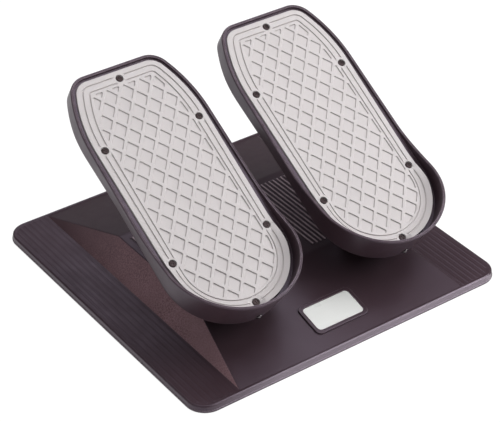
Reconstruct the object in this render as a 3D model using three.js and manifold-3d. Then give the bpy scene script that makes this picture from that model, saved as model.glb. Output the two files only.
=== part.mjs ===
// A pair of sprung foot pedals on a base plate. Each pedal tilts on a pin under its heel.
// Units are millimetres. +X is the user's right, +Y points to the toes and +Z is up.
// The origin is under the middle of the base plate, level with the bottom of its rubber feet.
import * as THREE from "three";
import { ConvexGeometry } from "three/addons/geometries/ConvexGeometry.js";
import { mergeVertices } from "three/addons/utils/BufferGeometryUtils.js";
import Module from "manifold-3d";

const wasm = await Module();
wasm.setup();

// ---- Driving dimensions ----
const GAP = 0.3; // room between pieces that touch
const BEYOND = 1; // how far a cutting piece runs past what it cuts, or a joined piece into the next
const ROUND = 12; // sides of a turned piece
const SMALL_ROUND = 8; // sides of a screw, a screw hole or a boss
const CORNER_STEPS = 2; // pairs of sides in a quarter circle

// Base plate
const BASE = { width: 380, depth: 367, corner: 22, wall: 3 };
const SKIRT_Z = 1.2; // the skirt's lower edge, lifted by the rubber feet
const EDGE_Z = 9.3; // top of the plate's edge
const PLATEAU_Z = 34.8; // flat top of the raised centre
const CENTRE_FOOT = { x: 139.5, y: 177 }; // half sizes of the raised centre, level with the edge's top
const CENTRE_TOP = { x: 116, y: 69.8 }; // half sizes of its flat top

// Cover under the base, its screws, and the rubber feet
const COVER = { from: 3.2, thickness: 2.5, screwX: 100, screwY: 120 };
const FOOT = { radius: 11, height: 2.9, x: 155, y: 150 };

// Landing pads: a ribbed rubber mat in a shallow pocket under each pedal
const PAD = { inner: 36, outer: 109, halfLength: 61, corner: 3, pocket: 1.5, mat: 1.2 };
const PAD_RIB = { count: 14, width: 2, height: 1.4 };

// Nameplate and its frame on the front ramp
const PLATE = { width: 56.5, depth: 30.6, corner: 4, thickness: 1.2 };
const FRAME = { border: 4.2, corner: 6, height: 1.9 };
const PLATE_UP_RAMP = 35.2; // from the ramp's foot to the plate's centre

// Pedals
const PEDAL_X = 91.15; // from the middle of the base to each pedal's centre line
const TILT = THREE.MathUtils.degToRad(30.56); // how far the pedals stand up at rest
const PEDAL_HEEL = { y: -137.75, z: 66.6 }; // the heel screw, on top of the tread
const HEEL = { centre: 56, halfWidth: 72.3, reach: 69.5 }; // half an ellipse
const SIDE = { end: 205, halfWidth: 70.9, radius: 160, sweep: THREE.MathUtils.degToRad(24.5) };
const TOE_RADIUS = 23.5;
const SHELL = { lip: 3.2, bottom: -17, draft: 3, floor: 3, middle: 130 };
const UPRIGHT = { from: 235, over: 85 }; // past this the wall has no draft, and over this length it loses it
const RIM = { low: 1.2, rise: 21, start: 115, power: 1.8, round: 0.6, roundHeight: 2 };
const TREAD = { inset: 6, thickness: 4, recess: 0.8, fieldInset: 22 };
const TREAD_HEEL = { narrower: 3.2, shorter: 1 }; // the tread is this much smaller round the heel
const TREAD_SCREWS = [[0, 0], [-55.6, 68.25], [55.6, 68.25], [-55.6, 201.75], [55.6, 201.75], [0, 270]];
const SCREW_SEAT = { radius: 4.2, depth: 1.6 };
const HEEL_RIVET_Z = -10; // from the tread's top

// Screws: head radius, head height and shank length. All have the same shank, pilot and clearance hole.
const SHANK = 1.7;
const PILOT = 2;
const CLEARANCE_HOLE = 2.2;
const BOSS = 5;
const TREAD_SCREW = { head: 3.7, height: 1, length: 11 };
const BRACKET_SCREW = { head: 3.6, height: 2, length: 9 };
const PEDESTAL_SCREW = { head: 3.6, height: 2, length: 11 };
const COVER_SCREW = { head: 3.5, height: 1.3, length: 7 };

// Hinges, from the middle of each pin outwards: spring, bracket ear, bush, pedestal cheek, clip
const PIN = { y: -82, z: 53, radius: 4, half: 23.5, groove: 3.4 };
const EAR = { inside: 10, thickness: 2.5, radius: 9 };
const CHEEK = { inside: 13.9, thickness: 6.5, radius: 9 };
const BUSH = { bore: PIN.radius + GAP, outer: 5.7, flange: 8, flangeThickness: 0.8 };
const CLIP = { radius: 7, thickness: 1, from: CHEEK.inside + CHEEK.thickness + GAP };
const BRACKET = { half: 20, from: 16, to: 88, thickness: 2.5, screws: [26, 76], chamfer: 10 };
const PEDESTAL = { halfX: 21, halfY: 13, corner: 5, thickness: 4, screwX: 7, screwY: -5.5 };
const STOP = { thickness: 3, height: 15 }; // the pedestal's front wall, which the ears rest on
const EAR_STOP = { ahead: 15.9, back: 20 }; // the ear's front corner and back, from the pin
const SPRING = { radius: 7, wire: 1.1, turns: 4, pitch: 3, steps: 44 };
const UPPER_LEG = { angle: 130, length: 21 }; // leaves the coil for the bracket; angle from the pedal
const LOWER_LEG = { angle: 220, length: 14 }; // leaves the coil for the pedestal; angle from the ramp

// ---- Values that follow from them ----
const RAMP = Math.atan2(PLATEAU_Z - EDGE_Z, CENTRE_FOOT.y - CENTRE_TOP.y);
const SIDE_SLOPE = Math.atan2(PLATEAU_Z - EDGE_Z, CENTRE_FOOT.x - CENTRE_TOP.x);
const SIDES = { left: -PEDAL_X, right: PEDAL_X };
const COVER_SCREWS = [-1, 0, 1].flatMap((i) => [-1, 1].map((j) => [i * COVER.screwX, j * COVER.screwY]));
const rampZ = (y) => EDGE_Z + (CENTRE_FOOT.y - Math.abs(y)) * Math.tan(RAMP);
// The pin in a pedal's own frame, and above the ramp in a pedestal's own frame
const X_AXIS = new THREE.Vector3(1, 0, 0);
const PIN_FROM_HEEL = new THREE.Vector3(0, PIN.y - PEDAL_HEEL.y, PIN.z - PEDAL_HEEL.z);
const PIN_IN_PEDAL = PIN_FROM_HEEL.applyAxisAngle(X_AXIS, -TILT);
const PIN_ON_RAMP = new THREE.Vector3(0, 0, PIN.z - rampZ(PIN.y)).applyAxisAngle(X_AXIS, -RAMP);

// ---- Materials ----
const finish = (color, roughness, metalness = 0) =>
  new THREE.MeshStandardMaterial({ color, roughness, metalness });
const darkPlastic = () => finish(0x3f3539, 0.45);
const blackPlastic = () => finish(0x2e2729, 0.6);
const greyPlastic = () => finish(0xcdc5c4, 0.55);
const whitePlastic = () => finish(0xeceae4, 0.4);
const rubber = () => finish(0x4a4046, 0.85);
const steel = () => finish(0x9a9a9e, 0.35, 1);
const blackSteel = () => finish(0x33302f, 0.4, 0.8);
const brass = () => finish(0x9c7b4a, 0.45, 1);

// ---- Tools ----
// A closed three.js geometry as a solid that can be joined and cut.
function solid(geometry) {
  const bare = new THREE.BufferGeometry();
  bare.setAttribute("position", geometry.getAttribute("position").clone());
  if (geometry.index) bare.setIndex(geometry.index.clone());
  const merged = mergeVertices(bare, 1e-4);
  const vertProperties = new Float32Array(merged.attributes.position.array);
  const triVerts = new Uint32Array(merged.index.array);
  return new wasm.Manifold(new wasm.Mesh({ numProp: 3, vertProperties, triVerts }));
}

function geometryOf(made) {
  const mesh = made.getMesh();
  const geometry = new THREE.BufferGeometry();
  geometry.setAttribute("position", new THREE.BufferAttribute(new Float32Array(mesh.vertProperties), 3));
  geometry.setIndex(new THREE.BufferAttribute(new Uint32Array(mesh.triVerts), 1));
  geometry.computeVertexNormals();
  return geometry;
}

const join = (...parts) => parts.reduce((whole, part) => whole.add(part));
const cut = (whole, ...parts) => parts.reduce((left, part) => left.subtract(part), whole);

// A shape in XY, extruded from one height to another.
function slab(shape, from, to) {
  const settings = { depth: to - from, bevelEnabled: false, curveSegments: CORNER_STEPS };
  return solid(new THREE.ExtrudeGeometry(shape, settings).translate(0, 0, from));
}

// A shape in YZ, extruded along X.
function slabX(shape, from, to) {
  const settings = { depth: to - from, bevelEnabled: false, curveSegments: 2 * CORNER_STEPS };
  const geometry = new THREE.ExtrudeGeometry(shape, settings);
  return solid(geometry.rotateZ(Math.PI / 2).rotateY(Math.PI / 2).translate(from, 0, 0));
}

// A piece turned about Z. Its profile is a list of [radius, z] from the bottom upwards, which starts and
// ends on the axis, or a loop that ends where it starts.
function turned(profile, sides = ROUND) {
  const points = profile.map(([radius, z]) => new THREE.Vector2(radius, z));
  return solid(new THREE.LatheGeometry(points, sides).rotateX(Math.PI / 2));
}

const rod = (radius, from, to, sides = ROUND) =>
  turned([[0, from], [radius, from], [radius, to], [0, to]], sides);
const boss = (from, to) => rod(BOSS, from, to, SMALL_ROUND);
const pilot = (from, to) => rod(PILOT, from, to, SMALL_ROUND);
const clearanceHole = (from, to) => rod(CLEARANCE_HOLE, from, to, SMALL_ROUND);

// Moves a solid, after a turn about X, in radians.
function place(made, x, y, z, turnX = 0) {
  return made.transform(new THREE.Matrix4().makeRotationX(turnX).setPosition(x, y, z).elements);
}

// Turns a solid made along Z to lie along X.
const alongX = (made, x = 0, y = 0, z = 0) =>
  made.transform(new THREE.Matrix4().makeRotationY(Math.PI / 2).setPosition(x, y, z).elements);

const polygon = (points) => new THREE.Shape(points.map(([x, y]) => new THREE.Vector2(x, y)));

function roundedRectangle(width, depth, radius) {
  const [x, y] = [width / 2 - radius, depth / 2 - radius];
  const shape = new THREE.Shape();
  shape.absarc(x, y, radius, 0, Math.PI / 2);
  shape.absarc(-x, y, radius, Math.PI / 2, Math.PI);
  shape.absarc(-x, -y, radius, Math.PI, Math.PI * 1.5);
  shape.absarc(x, -y, radius, Math.PI * 1.5, Math.PI * 2);
  return shape;
}

// A pan head screw. Its head stands on z = 0 and its shank points down.
function screw({ head, height, length }) {
  const profile = [[0, -length], [SHANK, -length], [SHANK, 0], [head, 0], [head * 0.8, height], [0, height]];
  return turned(profile, SMALL_ROUND);
}

function add(group, name, made, material) {
  const mesh = new THREE.Mesh(geometryOf(made), material);
  mesh.name = name;
  group.add(mesh);
}

// ---- Base ----
// The raised centre: a flat top with four sloping sides, on a short straight part that ends at bottomZ.
function raisedCentre(shiftX, shiftY, footZ, topZ, bottomZ) {
  const corners = (half, z) => {
    const [x, y] = [half.x - shiftX, half.y - shiftY];
    return [[x, y], [-x, y], [-x, -y], [x, -y]].map(([i, j]) => new THREE.Vector3(i, j, z));
  };
  const foot = [...corners(CENTRE_FOOT, bottomZ), ...corners(CENTRE_FOOT, footZ)];
  return solid(new ConvexGeometry([...foot, ...corners(CENTRE_TOP, topZ)]));
}

// How far the inside of a sloping wall is moved inwards when it is also moved down by the wall's thickness.
const wallShift = (slope) => BASE.wall * (1 / Math.sin(slope) - 1 / Math.tan(slope));

function baseShell() {
  const { width, depth, corner, wall } = BASE;
  const outside = join(
    slab(roundedRectangle(width, depth, corner), SKIRT_Z, EDGE_Z),
    raisedCentre(0, 0, EDGE_Z, PLATEAU_Z, EDGE_Z - BEYOND),
  );
  const ceiling = EDGE_Z - wall;
  const inside = join(
    slab(roundedRectangle(width - 2 * wall, depth - 2 * wall, corner - wall), SKIRT_Z - BEYOND, ceiling),
    raisedCentre(wallShift(SIDE_SLOPE), wallShift(RAMP), ceiling, PLATEAU_Z - wall, ceiling - BEYOND),
  );
  const hingeScrews = Object.values(SIDES).flatMap((x) => [-1, 1].map((i) => x + i * PEDESTAL.screwX));
  return cut(
    join(cut(outside, inside), ...COVER_SCREWS.map(coverBoss), ...hingeScrews.map(hingeBoss)),
    ...COVER_SCREWS.map(([x, y]) => place(pilot(0, 14), x, y, 0)),
    ...hingeScrews.map((x) => onRamp(place(pilot(-13, BEYOND), 0, PEDESTAL.screwY, 0), x)),
    padPocket(1),
    padPocket(-1),
  );
}

// Puts a solid made in a pedestal's own frame on the front ramp. That frame's origin is on the ramp under
// the pin, its Y runs up the ramp and its Z is square to it.
const onRamp = (made, x) => place(made, x, PIN.y, rampZ(PIN.y), RAMP);

const coverBoss = ([x, y]) =>
  place(boss(COVER.from + COVER.thickness + GAP, rampZ(y) - BASE.wall / 2), x, y, 0);

const hingeBoss = (x) => onRamp(place(boss(-12, -BASE.wall / 2), 0, PEDESTAL.screwY, 0), x);

function padPocket(side) {
  const shape = roundedRectangle(PAD.outer - PAD.inner, 2 * PAD.halfLength, PAD.corner);
  const middle = (PAD.inner + PAD.outer) / 2;
  return place(slab(shape, PLATEAU_Z - PAD.pocket, PLATEAU_Z + BEYOND), side * middle, 0, 0);
}

// A mat with ribs along Y: one section in XZ, extruded and trimmed to rounded corners.
function landingPad(side) {
  const low = PLATEAU_Z - PAD.pocket + GAP;
  const top = low + PAD.mat;
  const width = PAD.outer - PAD.inner - 2 * GAP;
  const length = 2 * (PAD.halfLength - GAP);
  const points = [[-width / 2, top], [-width / 2, low], [width / 2, low], [width / 2, top]];
  for (let i = PAD_RIB.count - 1; i >= 0; i--) {
    const middle = ((i + 0.5) / PAD_RIB.count - 0.5) * width;
    points.push([middle + PAD_RIB.width / 2, top], [middle + PAD_RIB.width / 4, top + PAD_RIB.height]);
    points.push([middle - PAD_RIB.width / 4, top + PAD_RIB.height], [middle - PAD_RIB.width / 2, top]);
  }
  const section = new THREE.ExtrudeGeometry(polygon(points), { depth: length, bevelEnabled: false });
  const mat = solid(section.rotateX(Math.PI / 2).translate(0, length / 2, 0));
  const corners = slab(roundedRectangle(width, length, PAD.corner), low - BEYOND, top + 2 * PAD_RIB.height);
  return place(mat.intersect(corners), (side * (PAD.inner + PAD.outer)) / 2, 0, 0);
}

function baseCover() {
  const inset = 2 * (BASE.wall + GAP);
  const outline = roundedRectangle(BASE.width - inset, BASE.depth - inset, BASE.corner - BASE.wall);
  const holes = COVER_SCREWS.map(([x, y]) => place(clearanceHole(0, PLATEAU_Z), x, y, 0));
  return cut(slab(outline, COVER.from, COVER.from + COVER.thickness), ...holes);
}

function rubberFoot() {
  const { radius, height } = FOOT;
  return turned([[0, 0], [radius - 1, 0], [radius, 1], [radius, height], [0, height]], 2 * SMALL_ROUND);
}

function nameplateFrame() {
  const around = (border, corner) =>
    roundedRectangle(PLATE.width + 2 * border, PLATE.depth + 2 * border, corner);
  const outside = around(FRAME.border, FRAME.corner);
  const opening = around(GAP, PLATE.corner);
  return cut(slab(outside, GAP, FRAME.height), slab(opening, 0, FRAME.height + BEYOND));
}

const nameplate = () =>
  slab(roundedRectangle(PLATE.width, PLATE.depth, PLATE.corner), GAP, GAP + PLATE.thickness);

// Puts a solid made flat on z = 0 at the nameplate's place on the front ramp.
function atNameplate(made) {
  const y = PLATE_UP_RAMP * Math.cos(RAMP) - CENTRE_FOOT.y;
  return place(made, 0, y, rampZ(y), RAMP);
}

// ---- Hinge, fixed half ----
// One cheek of the pedestal, from its front wall over the pin and down to its foot.
function cheek(from) {
  const { halfY, thickness } = PEDESTAL;
  const { y, z } = PIN_ON_RAMP;
  const low = thickness - BEYOND;
  const toStop = Math.hypot(y + halfY, z - STOP.height);
  const tangent = Math.atan2(z - STOP.height, y + halfY) + Math.asin(CHEEK.radius / toStop);
  const shape = new THREE.Shape();
  shape.moveTo(-halfY, low);
  shape.lineTo(halfY, low);
  shape.absarc(y, z, CHEEK.radius, 0, Math.PI / 2 + tangent);
  shape.lineTo(-halfY, STOP.height);
  return slabX(shape, from, from + CHEEK.thickness);
}

function hingePedestal() {
  const { halfX, halfY, corner, thickness, screwX, screwY } = PEDESTAL;
  const foot = slab(roundedRectangle(2 * halfX, 2 * halfY, corner), GAP, thickness);
  const [low, high] = [thickness - BEYOND, STOP.height];
  const [front, back] = [-halfY, STOP.thickness - halfY];
  const wall = polygon([[front, low], [back, low], [back, high], [front, high]]);
  const body = join(
    foot,
    cheek(CHEEK.inside),
    cheek(-CHEEK.inside - CHEEK.thickness),
    slabX(wall, -CHEEK.inside - BEYOND, CHEEK.inside + BEYOND),
  );
  const bore = alongX(rod(BUSH.outer + GAP, -PIN.half, PIN.half), 0, PIN_ON_RAMP.y, PIN_ON_RAMP.z);
  const holes = [-1, 1].map((i) => place(clearanceHole(-BEYOND, STOP.height), i * screwX, screwY, 0));
  return cut(body, bore, ...holes);
}

function hingePin() {
  const { radius, half, groove } = PIN;
  const near = CLIP.from - GAP / 2;
  const far = CLIP.from + CLIP.thickness + GAP / 2;
  const end = [[0, -half], [radius, -half], [radius, -far], [groove, -far], [groove, -near], [radius, -near]];
  const otherEnd = end.map(([r, x]) => [r, -x]).reverse();
  return alongX(turned([...end, ...otherEnd]));
}

// A spring clip: a ring with a mouth, snapped into the pin's groove.
function pinClip(direction) {
  const { radius, thickness, from } = CLIP;
  const inner = PIN.groove + GAP;
  const loop = [[inner, 0], [radius, 0], [radius, thickness], [inner, thickness], [inner, 0]];
  const mouth = polygon([[-2.2, 0], [2.2, 0], [3.4, 2 * radius], [-3.4, 2 * radius]]);
  const clip = cut(turned(loop), slab(mouth, -BEYOND, thickness + BEYOND));
  return alongX(clip, direction > 0 ? from : -from - thickness);
}

function pivotBush(direction) {
  const { bore, outer, flange, flangeThickness } = BUSH;
  const face = CHEEK.inside - GAP;
  const start = face - flangeThickness;
  const end = CHEEK.inside + CHEEK.thickness - GAP;
  const inside = [[bore, end], [bore, start]];
  const outside = [[flange, start], [flange, face], [outer, face], [outer, end]];
  const bush = alongX(turned([[bore, start], ...outside, ...inside]));
  return direction > 0 ? bush : bush.rotate([0, 0, 180]);
}

// A torsion spring round the pin. Both legs point to the toes: the upper one lifts the pedal's bracket,
// and the lower one rests on the pedestal's foot.
function torsionSpring() {
  const { radius, wire, turns, pitch, steps } = SPRING;
  const half = (turns * pitch) / 2;
  const start = THREE.MathUtils.degToRad(UPPER_LEG.angle) + TILT;
  const end = THREE.MathUtils.degToRad(LOWER_LEG.angle + 360 * turns) + RAMP;
  const onCoil = (t) => {
    const angle = THREE.MathUtils.lerp(start, end, t);
    return new THREE.Vector3(half * (2 * t - 1), radius * Math.cos(angle), radius * Math.sin(angle));
  };
  // A point on a leg, which leaves the coil along its tangent. A negative distance is on the upper leg.
  const onLeg = (angle, x, distance) =>
    new THREE.Vector3(
      x,
      radius * Math.cos(angle) - distance * Math.sin(angle),
      radius * Math.sin(angle) + distance * Math.cos(angle),
    );
  const coil = Array.from({ length: steps + 1 }, (_, i) => onCoil(i / steps));
  const upper = [1, 0.5].map((part) => onLeg(start, -half, -part * UPPER_LEG.length));
  const lower = [0.5, 1].map((part) => onLeg(end, half, part * LOWER_LEG.length));
  const section = new THREE.Shape();
  section.absarc(0, 0, wire, 0, Math.PI * 2);
  const extrudePath = new THREE.CatmullRomCurve3([...upper, ...coil, ...lower], false, "centripetal");
  return solid(new THREE.ExtrudeGeometry(section, { steps, curveSegments: 3, extrudePath }));
}

// ---- Pedals ----
// A pedal's own frame has X across it, Y from heel to toe and Z square to its tread. Its origin is the heel
// screw, on top of the tread.

function arc(x, y, radiusX, radiusY, from, to, steps) {
  return Array.from({ length: steps + 1 }, (_, i) => {
    const angle = THREE.MathUtils.lerp(from, to, i / steps);
    return new THREE.Vector2(x + radiusX * Math.cos(angle), y + radiusY * Math.sin(angle));
  });
}

// The pedal's outline, moved inwards by an inset, anticlockwise from the heel. The heel's curve can be made
// smaller still. It, the side's and the toe corner's are given for the right side and mirrored for the left.
function pedalOutline(inset, { narrower, shorter } = { narrower: 0, shorter: 0 }) {
  const heelX = HEEL.halfWidth - inset - narrower;
  const heelY = HEEL.reach - inset - shorter;
  const sideX = SIDE.halfWidth - SIDE.radius;
  const toeX = sideX + (SIDE.radius - TOE_RADIUS) * Math.cos(SIDE.sweep);
  const toeY = SIDE.end + (SIDE.radius - TOE_RADIUS) * Math.sin(SIDE.sweep);
  const right = [
    ...arc(0, HEEL.centre, heelX, heelY, -Math.PI / 2, 0, 6),
    ...arc(sideX, SIDE.end, SIDE.radius - inset, SIDE.radius - inset, 0, SIDE.sweep, 3),
    ...arc(toeX, toeY, TOE_RADIUS - inset, TOE_RADIUS - inset, SIDE.sweep, Math.PI / 2, 3).slice(1),
  ];
  const left = right.slice(1).reverse().map((p) => new THREE.Vector2(-p.x, p.y));
  return [...right, ...left];
}

// The rim's height over the tread's top, which rises round the heel.
function rimHeight(y) {
  const heelEnd = HEEL.centre - HEEL.reach;
  const along = THREE.MathUtils.clamp((RIM.start - y) / (RIM.start - heelEnd), 0, 1);
  return RIM.low + RIM.rise * Math.sin((along * Math.PI) / 2) ** RIM.power;
}

// The foot of a wall: its outline moved inwards by the draft, but not at the toe end, where it is upright.
function wallFoot(inset) {
  const drafted = pedalOutline(inset + SHELL.draft);
  return pedalOutline(inset).map((p, i) => {
    const share = THREE.MathUtils.clamp((UPRIGHT.from - p.y) / UPRIGHT.over, 0, 1);
    return p.lerp(drafted[i], share);
  });
}

// The open tub, as rings of the same outline from the outside's bottom over the rim to the inside's floor.
function tub() {
  const { lip, bottom, floor, middle } = SHELL;
  const outer = pedalOutline(0);
  const ring = (outline, height) =>
    outline.map((p, i) => new THREE.Vector3(p.x, p.y, height(outer[i].y)));
  const rings = [
    ring(wallFoot(0), () => bottom),
    ring(outer, (y) => rimHeight(y) - RIM.roundHeight),
    ring(pedalOutline(RIM.round), rimHeight),
    ring(pedalOutline(lip), rimHeight),
    ring(wallFoot(lip), () => bottom + floor),
  ];
  const count = outer.length;
  const centres = [bottom, bottom + floor].map((z) => new THREE.Vector3(0, middle, z));
  const [under, inside] = [rings.length * count, rings.length * count + 1];
  const lastRing = (rings.length - 1) * count;
  const index = [];
  for (let i = 0; i < count; i++) {
    const next = (i + 1) % count;
    for (let low = 0; low < lastRing; low += count) {
      index.push(low + i, low + next, low + next + count, low + i, low + next + count, low + i + count);
    }
    index.push(under, next, i, inside, lastRing + i, lastRing + next);
  }
  return solid(new THREE.BufferGeometry().setFromPoints([...rings.flat(), ...centres]).setIndex(index));
}

// The outside's lean, and how far it is moved inwards at the heel at one height.
const heelWallHeight = () => rimHeight(HEEL.centre - HEEL.reach) - RIM.roundHeight - SHELL.bottom;
const heelWallInset = (z) => SHELL.draft * (1 - (z - SHELL.bottom) / heelWallHeight());

// Puts a solid made on z = 0 on the heel's outside, at the rivet.
function atRivet(made) {
  const y = HEEL.centre - HEEL.reach + heelWallInset(HEEL_RIVET_Z);
  return place(made, 0, y, HEEL_RIVET_Z, Math.PI / 2 + Math.atan(SHELL.draft / heelWallHeight()));
}

function pedalShell() {
  const floorZ = SHELL.bottom + SHELL.floor;
  const under = SHELL.bottom - BEYOND;
  return cut(
    join(
      tub(),
      ...TREAD_SCREWS.map(([x, y]) => place(boss(floorZ - BEYOND, -TREAD.thickness - GAP), x, y, 0)),
      ...BRACKET.screws.map((y) => place(boss(floorZ - BEYOND, floorZ + 6), 0, y, 0)),
    ),
    ...TREAD_SCREWS.map(([x, y]) => place(pilot(floorZ, 0), x, y, 0)),
    ...BRACKET.screws.map((y) => place(pilot(under, floorZ + 5), 0, y, 0)),
    atRivet(pilot(-2 * SHELL.lip, BEYOND)),
  );
}

function tread() {
  const { inset, thickness, recess, fieldInset } = TREAD;
  const seat = () => rod(SCREW_SEAT.radius, -SCREW_SEAT.depth, BEYOND);
  return cut(
    slab(new THREE.Shape(pedalOutline(inset, TREAD_HEEL)), -thickness, 0),
    slab(new THREE.Shape(pedalOutline(fieldInset)), -recess, BEYOND),
    ...TREAD_SCREWS.map(([x, y]) => place(seat(), x, y, 0)),
    ...TREAD_SCREWS.map(([x, y]) => place(clearanceHole(-thickness - BEYOND, 0), x, y, 0)),
  );
}

// One ear of the bracket, round the pin, with a corner in front that rests on the pedestal's front wall.
function bracketEar(from, top) {
  const { y, z } = PIN_IN_PEDAL;
  const shape = new THREE.Shape();
  shape.moveTo(y + EAR_STOP.back, top);
  shape.lineTo(y - EAR_STOP.ahead, top);
  shape.lineTo(y - EAR_STOP.ahead, z);
  shape.absarc(y, z, EAR.radius, Math.PI * 1.33, Math.PI * 1.9);
  return slabX(shape, from, from + EAR.thickness);
}

function hingeBracket() {
  const { half, from, to, thickness, chamfer, screws } = BRACKET;
  const top = SHELL.bottom - GAP;
  const low = top - thickness;
  const outline = polygon([
    [half, from],
    [half, to - chamfer],
    [half - chamfer, to],
    [chamfer - half, to],
    [-half, to - chamfer],
    [-half, from],
  ]);
  const ears = [EAR.inside, -EAR.inside - EAR.thickness].map((x) => bracketEar(x, low + BEYOND));
  const bore = alongX(rod(BUSH.bore, -half, half), 0, PIN_IN_PEDAL.y, PIN_IN_PEDAL.z);
  const holes = screws.map((y) => place(clearanceHole(low - BEYOND, top + BEYOND), 0, y, 0));
  return cut(join(slab(outline, low, top), ...ears), bore, ...holes);
}

function heelRivet() {
  const head = [[0, -4], [1.5, -4], [1.5, GAP], [3.8, GAP], [3.4, 1.3], [2.2, 2.1], [0, 2.4]];
  return atRivet(turned(head));
}

// ---- Assembly ----
function addBase(group) {
  add(group, "base_shell", baseShell(), darkPlastic());
  add(group, "base_cover", baseCover(), blackPlastic());
  for (const [end, y] of [["front", -FOOT.y], ["back", FOOT.y]]) {
    add(group, `rubber_foot_${end}_left`, place(rubberFoot(), -FOOT.x, y, 0), rubber());
    add(group, `rubber_foot_${end}_right`, place(rubberFoot(), FOOT.x, y, 0), rubber());
  }
  COVER_SCREWS.forEach(([x, y], i) => {
    const made = place(screw(COVER_SCREW), x, y, COVER.from - GAP, Math.PI);
    add(group, `cover_screw_${i + 1}`, made, blackSteel());
  });
  add(group, "nameplate_frame", atNameplate(nameplateFrame()), darkPlastic());
  add(group, "nameplate", atNameplate(nameplate()), whitePlastic());
}

function addHinge(group, side, x) {
  add(group, `${side}_landing_pad`, landingPad(Math.sign(x)), rubber());
  add(group, `${side}_hinge_pedestal`, onRamp(hingePedestal(), x), blackPlastic());
  const atPin = (made) => place(made, x, PIN.y, PIN.z);
  add(group, `${side}_hinge_pin`, atPin(hingePin()), steel());
  add(group, `${side}_torsion_spring`, atPin(torsionSpring()), steel());
  for (const [end, direction] of [["inner", -Math.sign(x)], ["outer", Math.sign(x)]]) {
    add(group, `${side}_pivot_bush_${end}`, atPin(pivotBush(direction)), brass());
    add(group, `${side}_pin_clip_${end}`, atPin(pinClip(direction)), blackSteel());
    const made = place(screw(PEDESTAL_SCREW), 0, PEDESTAL.screwY, PEDESTAL.thickness + GAP);
    add(group, `${side}_pedestal_screw_${end}`, onRamp(made, x + direction * PEDESTAL.screwX), blackSteel());
  }
}

function addPedal(group, side, x) {
  const pedal = new THREE.Group();
  pedal.position.set(x, PEDAL_HEEL.y, PEDAL_HEEL.z);
  pedal.rotation.x = TILT;
  group.add(pedal);
  add(pedal, `${side}_pedal_shell`, pedalShell(), darkPlastic());
  add(pedal, `${side}_tread`, tread(), greyPlastic());
  TREAD_SCREWS.forEach(([u, v], i) => {
    const made = place(screw(TREAD_SCREW), u, v, GAP - SCREW_SEAT.depth);
    add(pedal, `${side}_tread_screw_${i + 1}`, made, blackSteel());
  });
  add(pedal, `${side}_hinge_bracket`, hingeBracket(), steel());
  BRACKET.screws.forEach((v, i) => {
    const made = place(screw(BRACKET_SCREW), 0, v, SHELL.bottom - BRACKET.thickness - 2 * GAP, Math.PI);
    add(pedal, `${side}_bracket_screw_${i + 1}`, made, blackSteel());
  });
  add(pedal, `${side}_heel_rivet`, heelRivet(), blackSteel());
}

const exerciser = new THREE.Group();
exerciser.name = "foot_pedal_exerciser";
addBase(exerciser);
for (const [side, x] of Object.entries(SIDES)) {
  addHinge(exerciser, side, x);
  addPedal(exerciser, side, x);
}

export default exerciser;
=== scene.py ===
import math

import bmesh
import bpy
import numpy as np
from mathutils import Matrix, Vector
from mathutils.geometry import delaunay_2d_cdt


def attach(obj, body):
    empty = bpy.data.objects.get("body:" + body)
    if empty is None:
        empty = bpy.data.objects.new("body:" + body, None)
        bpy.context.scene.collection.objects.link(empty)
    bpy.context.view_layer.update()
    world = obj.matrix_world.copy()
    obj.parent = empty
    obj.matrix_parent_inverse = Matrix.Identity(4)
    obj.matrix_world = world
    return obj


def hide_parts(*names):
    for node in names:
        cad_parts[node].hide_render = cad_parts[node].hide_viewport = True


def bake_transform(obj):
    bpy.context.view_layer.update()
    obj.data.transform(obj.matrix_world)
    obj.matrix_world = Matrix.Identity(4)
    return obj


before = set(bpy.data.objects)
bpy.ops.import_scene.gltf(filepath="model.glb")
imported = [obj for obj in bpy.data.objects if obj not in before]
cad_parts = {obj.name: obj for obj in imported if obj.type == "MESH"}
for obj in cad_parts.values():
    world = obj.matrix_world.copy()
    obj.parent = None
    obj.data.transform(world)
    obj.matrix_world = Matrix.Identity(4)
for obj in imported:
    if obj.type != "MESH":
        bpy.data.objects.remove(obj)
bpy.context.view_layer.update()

# A foot pedal exerciser: two sprung pedals on a base plate. Shapes are worked out in millimetres, in the
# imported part's frame: +X is the user's right, +Y points to the toes and +Z is up.
MM = 0.001

# ---- Sizes ----
GAP = 0.3  # room between pieces that touch

BASE_HALF = (190, 183.5)
BASE_CORNER = 22
EDGE_Z = 9.3  # top of the plate's edge
STRIP_Z = 8.9  # the plate's top inside its lip, a little lower than its edge
LIP = 3.7  # how far the lip reaches in from the side
SHEEN_BAND_DEPTH = 3.3  # how far in from the front the painted sheen band reaches
RIB_HIGHLIGHT_ABOVE = 0.6  # the pads' ribs get a painted highlight above this height over the raised centre
PLATEAU_Z = 34.8  # flat top of the raised centre
CENTRE_FOOT = (139.5, 177)  # half sizes of the raised centre, level with the edge's top
CENTRE_TOP = (116, 69.8)  # half sizes of its flat top
CENTRE_CORNER = 1.6
RAMP = math.atan2(PLATEAU_Z - EDGE_Z, CENTRE_FOOT[1] - CENTRE_TOP[1])
SIDE_SLOPE = math.atan2(PLATEAU_Z - EDGE_Z, CENTRE_FOOT[0] - CENTRE_TOP[0])
STRIP_RIB = {"first": 143.1, "pitch": 6.4, "count": 7, "half_width": 1.6, "clear": 1.4}

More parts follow.
